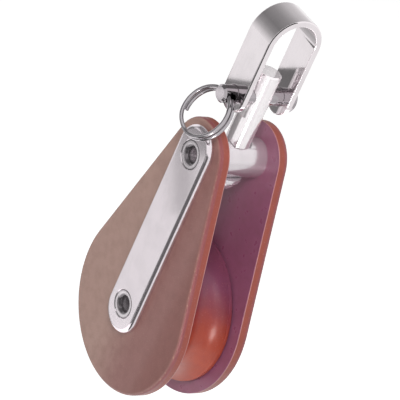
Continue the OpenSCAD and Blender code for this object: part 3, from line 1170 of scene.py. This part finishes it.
@dataclass
class Shell:
    """Two laminate cheeks and the two steel straps that are riveted on them."""

    sizes: Sizes = SIZES
    strap_round: float = 1.2
    strap_foot: float = 0.1
    sink_room: float = 0.12

    def cheek(self) -> Plate:
        """Teardrop plate of a cheek."""
        s = self.sizes
        return Plate(
            low_r=s.cheek_low_r,
            top_r=s.cheek_top_r,
            low_s=0.0,
            top_s=s.rivet_span - s.cheek_top_drop,
            hole=s.shank_d / 2 + s.rivet_clear,
            top_hole_s=s.rivet_span,
            thickness=s.cheek_t,
            ease=s.cheek_round,
        )

    def strap(self) -> Plate:
        """Round-ended strip of a strap."""
        s = self.sizes
        return Plate(
            low_r=s.strap_w / 2,
            top_r=s.strap_w / 2,
            low_s=-s.strap_over,
            top_s=s.rivet_span + s.strap_over,
            hole=s.shank_d / 2 + s.rivet_clear,
            top_hole_s=s.rivet_span,
            thickness=s.strap_t,
            ease=self.strap_round,
            foot_ease=self.strap_foot,
        )

    def build(self, wardrobe: Wardrobe) -> None:
        """Builds both sides.

        Args:
            wardrobe: Maker of the finishes, which dresses the pieces.
        """
        s = self.sizes
        sink = (s.flare_d - s.shank_d) / 2 + self.sink_room
        sink_depth = s.flare_h + s.flare_recess
        for side, word in ((-1, "left"), (1, "right")):
            cheek = self.cheek().stood(f"{word}_cheek", side * s.cheek_y, s.axle_z)
            wardrobe.dress(cheek, Finish.CHEEK, "block", f"cheek_{word}")
            strap = self.strap().stood(f"{word}_strap", side * s.strap_y, s.axle_z, sink, sink_depth)
            wardrobe.dress(strap, Finish.STRAP, "block", f"strap_{word}")


@dataclass
class Axle:
    """Hollow rivet, spacing tube and grooved wheel."""

    sizes: Sizes = SIZES
    lip_break: float = 0.18
    hub_break: float = 0.25
    sleeve_breaks: Pair = (0.1, 0.15)
    mouth_steps: int = 9
    groove_points: int = 48
    wheel_segments: int = 192

    def rivet(self) -> Array:
        """Half section of the rivet as a loop: its shank, flared lips, rolled mouths and bore.

        Over an angle f from 0 to 90 degrees, a mouth is a quarter round of the radius r between bore and lip:
        it lies at mouth - r cos f from the axis, and at lip - r + r sin f along it.

        Returns:
            Pairs of radius and place along the axis.
        """
        s = self.sizes
        shank, bore, lip, flare = s.shank_d / 2, s.shank_bore_d / 2, s.lip_y, s.flare_d / 2
        mouth, ease = bore + s.mouth_r, self.lip_break
        f = np.linspace(0, math.pi / 2, self.mouth_steps + 1)[1:-1]
        roll = np.stack([mouth - s.mouth_r * np.cos(f), lip - s.mouth_r + s.mouth_r * np.sin(f)], axis=-1)
        side = [[shank, 0], [shank, lip - s.flare_h], [flare, lip - ease], [flare - ease, lip], [mouth, lip]]
        half = np.concatenate([side, roll[::-1], [[bore, lip - s.mouth_r], [bore, 0]]])
        return np.concatenate([half, (half[::-1] * [1, -1])[1:], half[:1]])

    def sleeve(self) -> Array:
        """Half section of the spacing tube as a loop."""
        s = self.sizes
        ends = (-s.inner_y, s.inner_y)
        return tube(s.shank_d / 2 + s.rivet_clear, s.sleeve_d / 2, ends, self.sleeve_breaks)

    def wheel(self) -> Array:
        """Half section of the wheel as a loop: bore, flank, eased rim, groove, and the same back.

        At the angle f from the middle plane, the groove lies at middle - r cos f from the axis and at r sin f
        along it, where r is its radius.

        Returns:
            Pairs of radius and place along the axis.
        """
        s = self.sizes
        half_w = s.cheek_gap / 2 - s.sheave_play
        rim, bore = s.sheave_d / 2, s.sleeve_d / 2 + s.run_clear
        middle = rim - s.groove_depth + s.groove_r
        reach = math.acos((middle - rim) / s.groove_r)
        f = np.linspace(-reach, reach, self.groove_points)
        groove = np.stack([middle - s.groove_r * np.cos(f), s.groove_r * np.sin(f)], axis=-1)
        corners = [[bore, 0], [bore, -half_w], [rim, -half_w], groove[0].tolist()]
        low = rounded(corners, [0, self.hub_break, s.sheave_round, 0], steps=6, closed=False)
        return looped(np.concatenate([low[:-1], groove, (low * [1, -1])[::-1][1:-1]]))

    def build(self, wardrobe: Wardrobe) -> None:
        """Builds the axle's pieces.

        Args:
            wardrobe: Maker of the finishes, which dresses the pieces.
        """
        axle_z = self.sizes.axle_z
        rivet = turned_piece("hollow_rivet", self.rivet(), axle_z)
        wardrobe.dress(rivet, Finish.TURNED, "block", "axle_rivet")
        sleeve = turned_piece("spacing_tube", self.sleeve(), axle_z)
        wardrobe.dress(sleeve, Finish.TURNED, "block", "axle_sleeve")
        wheel = turned_piece("grooved_wheel", self.wheel(), axle_z, self.wheel_segments)
        wardrobe.dress(wheel, Finish.WHEEL, "wheel", "sheave")


@dataclass
class Swivel:
    """Crosshead between the cheeks, the post that turns in it and the washer below."""

    sizes: Sizes = SIZES
    barrel_ease: float = 0.22
    post_ease: float = 0.25
    washer_play: float = 0.02
    washer_breaks: Pair = (0.1, 0.2)

    def washer(self) -> Array:
        """Half section of the washer as a loop."""
        s = self.sizes
        return tube(s.stud_d / 2 + s.rivet_clear, s.washer_d / 2, (0, s.washer_t), self.washer_breaks)

    def build(self, wardrobe: Wardrobe) -> None:
        """Builds the swivel's pieces.

        Args:
            wardrobe: Maker of the finishes, which dresses the pieces.
        """
        s = self.sizes
        barrel = eased_copy("crosshead", "cross_barrel", self.barrel_ease)
        wardrobe.dress(barrel, Finish.TURNED, "block", "crosshead")
        post = eased_copy("swivel_post", "turning_post", self.post_ease)
        wardrobe.dress(post, Finish.POST, "post", "swivel_post")
        foot_z = s.crosshead_z - s.spot_z - s.washer_t - self.washer_play
        washer = turned_piece("foot_washer", self.washer(), foot_z, upright=True)
        wardrobe.dress(washer, Finish.TURNED, "post", "swivel_washer")


@dataclass
class Hanger:
    """Bent strip of the shackle, its clevis pin and the split ring through the pin's tip."""

    sizes: Sizes = SIZES
    strip_ease: float = 0.4
    strip_foot: float = 0.25
    pin_ease: float = 0.15
    cross_half: float = 32.0
    end_gap: float = 4.0
    cross_turn: float = 205.0
    wire_points: int = 280
    wire_sides: int = 20

    def strip(self) -> Plate:
        """The shackle's strip laid out flat, with a pin hole in each round end."""
        s = self.sizes
        length = 2 * s.bow_rise + math.pi * (s.bow_r - s.strip_t / 2)
        return Plate(
            low_r=s.strip_w / 2,
            top_r=s.strip_w / 2,
            low_s=0.0,
            top_s=length,
            hole=s.pin_d / 2 + s.run_clear,
            top_hole_s=length,
            thickness=s.strip_t,
            ease=self.strip_ease,
            foot_ease=self.strip_foot,
            flank_steps=144,
            cross_steps=10,
        )

    def bent(self, grid: Array) -> Array:
        """Bends the flat strip round the bow.

        Along the strip, s up to the bow's rise is the left leg, then an angle f = (s - rise) / mid radius
        goes round the bow from 0 to pi, and the rest is the right leg: y = -r cos f and z = r sin f, less
        what the legs hang below, where r is the outer radius less the depth.

        Args:
            grid: Grid of the flat strip, as (x, s, depth) points.

        Returns:
            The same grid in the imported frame.
        """
        s = self.sizes
        x, along, depth = np.moveaxis(grid, -1, 0)
        mid = s.bow_r - s.strip_t / 2
        f = np.clip((along - s.bow_rise) / mid, 0, math.pi)
        below = np.minimum(along - s.bow_rise, 0) + np.minimum(s.bow_rise + math.pi * mid - along, 0)
        r = s.bow_r - depth
        return np.stack([x, -r * np.cos(f), r * np.sin(f) + below], axis=-1)

    def wire(self) -> Array:
        """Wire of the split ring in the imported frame.

        Over two turns less the gap at the crossing, its centre line runs round a circle at the angle a, and
        moves from one turn to the other by the smooth step t t (3 - 2 t) over the crossing. The ring then
        hangs from the pin's hole, leaning outwards.

        Returns:
            Grid of the wire's surface, to be wrapped.
        """
        s = self.sizes
        start = self.cross_half + self.end_gap
        a = np.linspace(start, 720 - start, self.wire_points)
        t = np.clip((a - 360 + self.cross_half) / (2 * self.cross_half), 0, 1)
        rise = s.turn_pitch * (t * t * (3 - 2 * t) - 0.5)
        turn = np.radians(a + self.cross_turn)
        ring_r = s.ring_d / 2
        sag = (ring_r - math.sqrt(ring_r**2 - (s.pin_d / 2) ** 2)) / 2
        flat = np.stack([ring_r * np.sin(turn), ring_r * np.cos(turn) - ring_r + sag, rise], axis=-1)
        lean = Matrix.Rotation(math.radians(90 - s.ring_lean), 3, "X")
        hole_y = s.bow_r + s.ring_hole_out
        return swept(flat, s.wire_d / 2, self.wire_sides) @ np.array(lean).T + [0, -hole_y, s.pin_z]

    def build(self, wardrobe: Wardrobe) -> None:
        """Builds the hanger's pieces.

        Args:
            wardrobe: Maker of the finishes, which dresses the pieces.
        """
        skin = Skin()
        for grid in self.strip().grids():
            skin.grid(self.bent(grid), wrap=True)
        strip = skin.piece("bow_strip")
        wardrobe.dress(strip, Finish.SHACKLE, "bow", "shackle")
        # the pin's darker tint is painted shade
        pin = eased_copy("clevis_pin", "headed_pin", self.pin_ease)
        wardrobe.dress(pin, Finish.SHADED_PIN, "pin", "clevis_pin")
        ring = Skin().grid(self.wire(), wrap=True).piece("ring_wire")
        wardrobe.dress(ring, Finish.RING, "ring", "split_ring")


# Studio


@dataclass(frozen=True)
class Card:
    """Card that only reflections see, given by where a flat mirror on the block would show it.

    The mirror goes through a point and faces a normal. In it, the camera sees the card as a box of the
    picture, from (left, top) to (right, bottom) in pixels and turned by the tilt, at a depth behind the
    block. Its light goes from the first value at its top to the second at its bottom.
    """

    name: str
    through: Triple
    normal: Triple
    box: tuple[float, float, float, float]
    light: Pair
    tilt: float = 0.0
    depth: float = 150.0


@dataclass(frozen=True)
class Screen:
    """Round upright screen about the block that only reflections see.

    Its light goes by the angle in degrees from +X towards +Y, and it stands between two heights.
    """

    name: str
    radius: float
    heights: Pair
    light: tuple[Pair, ...]


@dataclass(frozen=True)
class Flag:
    """Flat flag that only reflections see, square to the first of its three axes at a place on it.

    Its light goes by the place along the second axis, and it spans from one place to another along the third.
    """

    name: str
    axes: str
    place: float
    light: tuple[Pair, ...]
    span: Pair


@dataclass(frozen=True)
class LegFlag:
    """Dark flag just off the edge of the shackle's near leg, straight up it and on round the bow."""

    name: str = "leg_flag"
    place_x: float = 5.3
    radii: Pair = (8.0, 13.0)
    drop: float = 21.5
    turn: float = 75.0
    steps: int = 11
    light: float = 0.06

    def points(self) -> Array:
        """Grid of the flag: at the angle a round the bow, a point lies at y = -r cos a and z = r sin a.

        Returns:
            Array of two rows, at the inner and the outer radius, by columns by 3.
        """
        r, a = np.meshgrid(self.radii, np.radians(np.linspace(0, self.turn, self.steps)), indexing="ij")
        y, z = -r * np.cos(a), r * np.sin(a)
        y, z = np.hstack([y[:, :1], y]), np.hstack([z[:, :1] - self.drop, z])
        return np.stack([np.full_like(y, self.place_x), y, z], axis=-1)


@dataclass
class Studio:
    """Camera at the photograph's angle, soft lights, a white surround, and what the metal mirrors."""

    azimuth: float = 47.05
    elevation: float = 27.45
    roll: float = 24.62
    distance: float = 600.0
    scale: float = 3.79
    spot: Triple = (0.0, 0.0, -60.4)
    spot_pixel: Pair = (195.76, 231.68)
    image: float = 400.0
    sensor: float = 36.0
    floor_z: float = -300.0
    floor_half: float = 4000.0
    floor_tone: Triple = (0.92, 0.92, 0.92)
    near_leg: Triple = (0.0, -SIZES.bow_r, -10.0)
    far_leg: Triple = (0.0, SIZES.bow_r - SIZES.strip_t, -10.0)
    near_strap: Triple = (0.0, -SIZES.strap_y, -45.0)
    pin_tip: Triple = (0.0, -12.5, SIZES.pin_z)
    groove_side: Triple = (18.3, 4.5, -80.6)
    groove_normal: Triple = (0.78, -0.60, 0.17)
    canopy_r: float = 500.0
    canopy_x: Pair = (-1100.0, -60.0)
    canopy_light: tuple[Pair, ...] = (
        *((0.0, 0.90), (17.0, 0.70), (37.0, 0.59), (57.0, 0.51), (77.0, 0.375), (97.0, 0.28)),
        *((117.0, 0.235), (137.0, 0.20), (157.0, 0.28), (172.0, 0.42), (186.0, 0.65), (198.0, 0.82)),
    )
    band_light: tuple[Pair, ...] = (
        *((-190.0, 0.66), (-158.0, 0.74), (-150.0, 0.85), (-126.0, 0.85), (-119.0, 0.40)),
        *((-98.0, 0.36), (-86.0, 0.50), (-76.0, 1.00), (-9.0, 1.00), (-7.0, 0.76)),
        *((4.0, 0.76), (7.0, 0.93), (18.0, 0.86), (110.0, 0.82), (150.0, 0.60)),
    )

    def axes(self) -> tuple[Vector, Vector, Vector]:
        """Directions of the camera.

        Returns:
            Its right, up and back, turned by its roll.
        """
        az, el, roll = (math.radians(v) for v in (self.azimuth, self.elevation, self.roll))
        right = Vector((math.cos(az), math.sin(az), 0))
        up = Vector((-math.sin(el) * math.sin(az), math.sin(el) * math.cos(az), math.cos(el)))
        back = right.cross(up)
        turned_right = math.cos(roll) * right + math.sin(roll) * up
        turned_up = -math.sin(roll) * right + math.cos(roll) * up
        return turned_right, turned_up, back

    def eye(self) -> Vector:
        """Place of the camera, from which the spot falls on its pixel.

        Returns:
            The place, in millimetres.
        """
        right, up, back = self.axes()
        across = (self.image / 2 - self.spot_pixel[0]) / self.scale
        upwards = (self.spot_pixel[1] - self.image / 2) / self.scale
        return Vector(self.spot) + across * right + upwards * up + self.distance * back

    def shown(self, across: float, down: float, depth: float) -> Vector:
        """Point that the camera sees at a pixel.

        Args:
            across: Place of the pixel from the picture's left.
            down: Its place from the top.
            depth: Depth of the point behind the spot.

        Returns:
            The point, in millimetres.
        """
        right, up, back = self.axes()
        reach = self.distance + depth
        step = reach / (self.distance * self.scale)
        x, y = (across - self.image / 2) * step, (self.image / 2 - down) * step
        return self.eye() + x * right + y * up - reach * back

    def camera(self) -> None:
        """Puts the camera at its place, with the lens that gives the scale."""
        data = bpy.data.cameras.new("camera")
        data.sensor_width = self.sensor
        data.lens = self.scale * self.distance / self.image * data.sensor_width
        camera = bpy.data.objects.new("camera", data)
        turn = Matrix(self.axes()).transposed().to_4x4()
        camera.matrix_world = Matrix.Translation(self.eye() * MM) @ turn
        bpy.context.scene.collection.objects.link(camera)
        bpy.context.scene.camera = camera

    def light(self, name: str, towards: Triple, distance: float, size: float, power: float) -> None:
        """Soft square light that looks at the block and that reflections do not see.

        Args:
            name: Name of the light.
            towards: Direction of the light as seen from the block, in the camera's right, up and back.
            distance: Distance in millimetres.
            size: Side in millimetres.
            power: Power in watts.
        """
        right, up, back = self.axes()
        way = (towards[0] * right + towards[1] * up + towards[2] * back).normalized()
        data = bpy.data.lights.new(name, "AREA")
        data.size = size * MM
        data.energy = power
        lamp = bpy.data.objects.new(name, data)
        place = (Vector(self.spot) + distance * way) * MM
        lamp.matrix_world = Matrix.Translation(place) @ way.to_track_quat("Z", "Y").to_matrix().to_4x4()
        lamp.visible_glossy = False
        bpy.context.scene.collection.objects.link(lamp)

    def card(self, card: Card) -> None:
        """Hangs a card: its corners as the camera would see them, turned by the tilt, and then mirrored.

        A point c goes to c - 2 ((c - p) . n) n in a mirror through p with the normal n.

        Args:
            card: The card, its mirror and its place in the picture.
        """
        left, top, right, bottom = card.box
        middle = np.array([(left + right) / 2, (top + bottom) / 2])
        across, down = np.meshgrid([left, right], [top, bottom])
        t = math.radians(card.tilt)
        spin = np.array([[math.cos(t), math.sin(t)], [-math.sin(t), math.cos(t)]])
        flat = (np.stack([across, down], axis=-1).reshape(-1, 2) - middle) @ spin + middle
        normal = Vector(card.normal).normalized()
        seen = [self.shown(x, y, card.depth) for x, y in flat.tolist()]
        corners = [c - 2 * (c - Vector(card.through)).dot(normal) * normal for c in seen]
        self.glowing(card.name, np.array(corners).reshape(2, 2, 3), np.repeat([card.light], 2, 0).T)

    def canopy(self) -> None:
        """Hangs an arched card over the block, dark in front and paler behind, that the bow's round mirrors.

        At the angle a from level behind the block, up and over to the front, a point lies at y = r cos a and
        z = r sin a.
        """
        angle, light = np.array(self.canopy_light).T
        turn, across = np.meshgrid(np.radians(angle), self.canopy_x, indexing="ij")
        reach = self.canopy_r
        points = np.stack([across, reach * np.cos(turn), reach * np.sin(turn)], axis=-1)
        self.glowing("canopy", points, np.repeat(light[:, None], 2, 1))

    def screen(self, screen: Screen) -> None:
        """Stands a screen: at the angle a, a point lies at x = r cos a and y = r sin a.

        Args:
            screen: The screen, its size and its light.
        """
        stops, levels = np.array(screen.light).T
        angle = np.unique(np.concatenate([stops, np.arange(stops[0], stops[-1], SCREEN_STEP)]))
        turn, up = np.meshgrid(np.radians(angle), screen.heights, indexing="ij")
        points = np.stack([screen.radius * np.cos(turn), screen.radius * np.sin(turn), up], axis=-1)
        self.glowing(screen.name, points, np.repeat(np.interp(angle, stops, levels)[:, None], 2, 1))

    def flag(self, flag: Flag) -> None:
        """Sets a flat flag.

        Args:
            flag: The flag, its axes and its light.
        """
        places, levels = np.array(flag.light).T
        across, along = np.meshgrid(places, flag.span, indexing="ij")
        points = np.zeros((*across.shape, 3))
        order = ["xyz".index(axis) for axis in flag.axes]
        points[..., order] = np.stack([np.full_like(across, flag.place), across, along], axis=-1)
        self.glowing(flag.name, points, np.repeat(levels[:, None], 2, 1))

    def glowing(self, name: str, points: Array, light: Array) -> None:
        """Makes a glowing card that only reflections see.

        Args:
            name: Name of the card.
            points: Grid of its points in millimetres.
            light: Brightness at each point.
        """
        piece = Skin().grid(points).piece(name)
        shade = piece.data.attributes.new("light", "FLOAT_COLOR", "POINT")
        rgba = np.stack([light, light, light, np.ones_like(light)], axis=-1)
        shade.data.foreach_set("color", rgba.ravel())
        material = bpy.data.materials.new(name)
        tree = Tree(material)
        level = tree.node("ShaderNodeAttribute", {"attribute_name": "light"}, {})
        glow = tree.node("ShaderNodeEmission", {}, {"Color": level.outputs["Color"], "Strength": 1.0})
        tree.node("ShaderNodeOutputMaterial", {}, {"Surface": glow.outputs[0]})
        piece.data.materials.append(material)
        piece.visible_camera = False
        piece.visible_diffuse = False
        piece.visible_shadow = False

    def world(self, strength: float) -> None:
        """Sets a world that the camera, reflections and glass see white.

        Args:
            strength: Strength at which it lights the block.
        """
        world = bpy.data.worlds.new("surround")
        bpy.context.scene.world = world
        tree = Tree(world)
        seen = tree.rays("Is Camera Ray", "Is Glossy Ray", "Is Transmission Ray")
        lights = tree.node("ShaderNodeBackground", {}, {"Color": WHITE, "Strength": strength})
        white = tree.node("ShaderNodeBackground", {}, {"Color": WHITE, "Strength": 1.0})
        mix = tree.node("ShaderNodeMixShader", {}, {0: seen, 1: lights.outputs[0], 2: white.outputs[0]})
        tree.node("ShaderNodeOutputWorld", {}, {"Surface": mix.outputs[0]})

    def floor(self, glow: float) -> None:
        """Lays a pale floor far below the block, which reads white to the camera and still takes a shadow.

        Args:
            glow: Strength of its own light, which the camera and reflections see.
        """
        half = self.floor_half
        u, v = np.meshgrid([-half, half], [-half, half])
        floor = Skin().grid(np.stack([u, v, 0 * u + self.floor_z], axis=-1)).piece("floor")
        material = bpy.data.materials.new("pale_floor")
        tree = Tree(material)
        seen = tree.rays("Is Camera Ray", "Is Glossy Ray")
        emission = tree.node("ShaderNodeEmission", {}, {"Color": WHITE, "Strength": seen * glow})
        diffuse = tree.node("ShaderNodeBsdfDiffuse", {}, {"Color": tree.colour(self.floor_tone)})
        total = tree.node("ShaderNodeAddShader", {}, {0: diffuse.outputs[0], 1: emission.outputs[0]})
        tree.node("ShaderNodeOutputMaterial", {}, {"Surface": total.outputs[0]})
        floor.data.materials.append(material)

    def cards(self) -> list[Card]:
        """Cards that flat faces mirror, and one for the light on the wheel's groove."""
        near, far = (self.near_leg, SIDEWAYS), (self.far_leg, SIDEWAYS)
        tip, strap = (self.pin_tip, SIDEWAYS), (self.near_strap, SIDEWAYS)
        groove = (self.groove_side, self.groove_normal)
        return [
            Card("side_card", *near, box=(206, 85, 341, 163), light=(0.16, 0.38), tilt=8.0, depth=70.0),
            Card("far_card", *far, box=(262, 68, 309, 130), light=(0.14, 0.20), depth=40.0),
            Card("tip_card", *tip, box=(208, 87, 230, 101), light=(1.9, 1.6), depth=30.0),
            Card("strap_card", *strap, box=(174, 118, 193, 214), light=(0.36, 0.40), depth=60.0),
            Card("wheel_card", *groove, box=(170, 265, 270, 405), light=(16.0, 16.0)),
        ]

    def screens(self) -> list[Screen]:
        """Screens that upright faces mirror: bands for the post, and a dark brow and foot for the straps."""
        brow = ((-116.0, 0.24), (-104.0, 0.14), (-80.0, 0.14))
        foot = ((-116.0, 0.24), (-104.0, 0.14), (-4.0, 0.14))
        return [
            Screen("band_screen", radius=340.0, heights=(-299.0, -80.0), light=self.band_light),
            Screen("brow_screen", radius=334.0, heights=(-201.0, -181.0), light=brow),
            Screen("foot_screen", radius=332.0, heights=(-299.0, -200.0), light=foot),
        ]

    def flags(self) -> list[Flag]:
        """Flags that the near strap's edge, the post's foot and the bow mirror."""
        strap = ((-60.0, 0.13), (-15.9, 0.13), (-15.1, 0.85), (-11.6, 0.85))
        post = ((-8.0, 0.16), (0.7, 0.16), (1.1, 0.95), (6.0, 0.95))
        bow = ((-200.0, 0.62), (80.0, 0.36))
        return [
            Flag("strap_flag", "xyz", place=11.0, light=strap, span=(-112.0, -32.0)),
            Flag("post_flag", "yxz", place=-5.5, light=post, span=(-31.5, -24.0)),
            Flag("bow_flag", "zyx", place=-297.0, light=bow, span=(-400.0, -190.0)),
        ]

    def build(self) -> None:
        """Sets the camera, lights, surround, floor, screens, flags and cards."""
        bpy.context.scene.view_settings.view_transform = "Standard"
        self.camera()
        self.world(strength=0.30)
        self.floor(glow=0.60)
        self.light("front_light", towards=(0.1, 0.25, 1.0), distance=900, size=400, power=5.6)
        self.light("side_light", towards=(0.9, 0.3, 0.6), distance=900, size=500, power=2.0)
        self.canopy()
        for screen in self.screens():
            self.screen(screen)
        for flag in self.flags():
            self.flag(flag)
        leg = LegFlag()
        self.glowing(leg.name, leg.points(), np.full((2, leg.steps + 1), leg.light))
        for card in self.cards():
            self.card(card)
        log.info("studio is set")


def main() -> None:
    """Builds the block's sub-assemblies in order, and then the studio."""
    logging.basicConfig(level=logging.INFO, format="%(message)s")
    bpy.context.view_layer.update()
    wardrobe = Wardrobe()
    for assembly in (Shell(), Axle(), Swivel(), Hanger()):
        assembly.build(wardrobe)
        log.info("%s is built", type(assembly).__name__.lower())
    Studio().build()


if __name__ == "__main__":
    main()
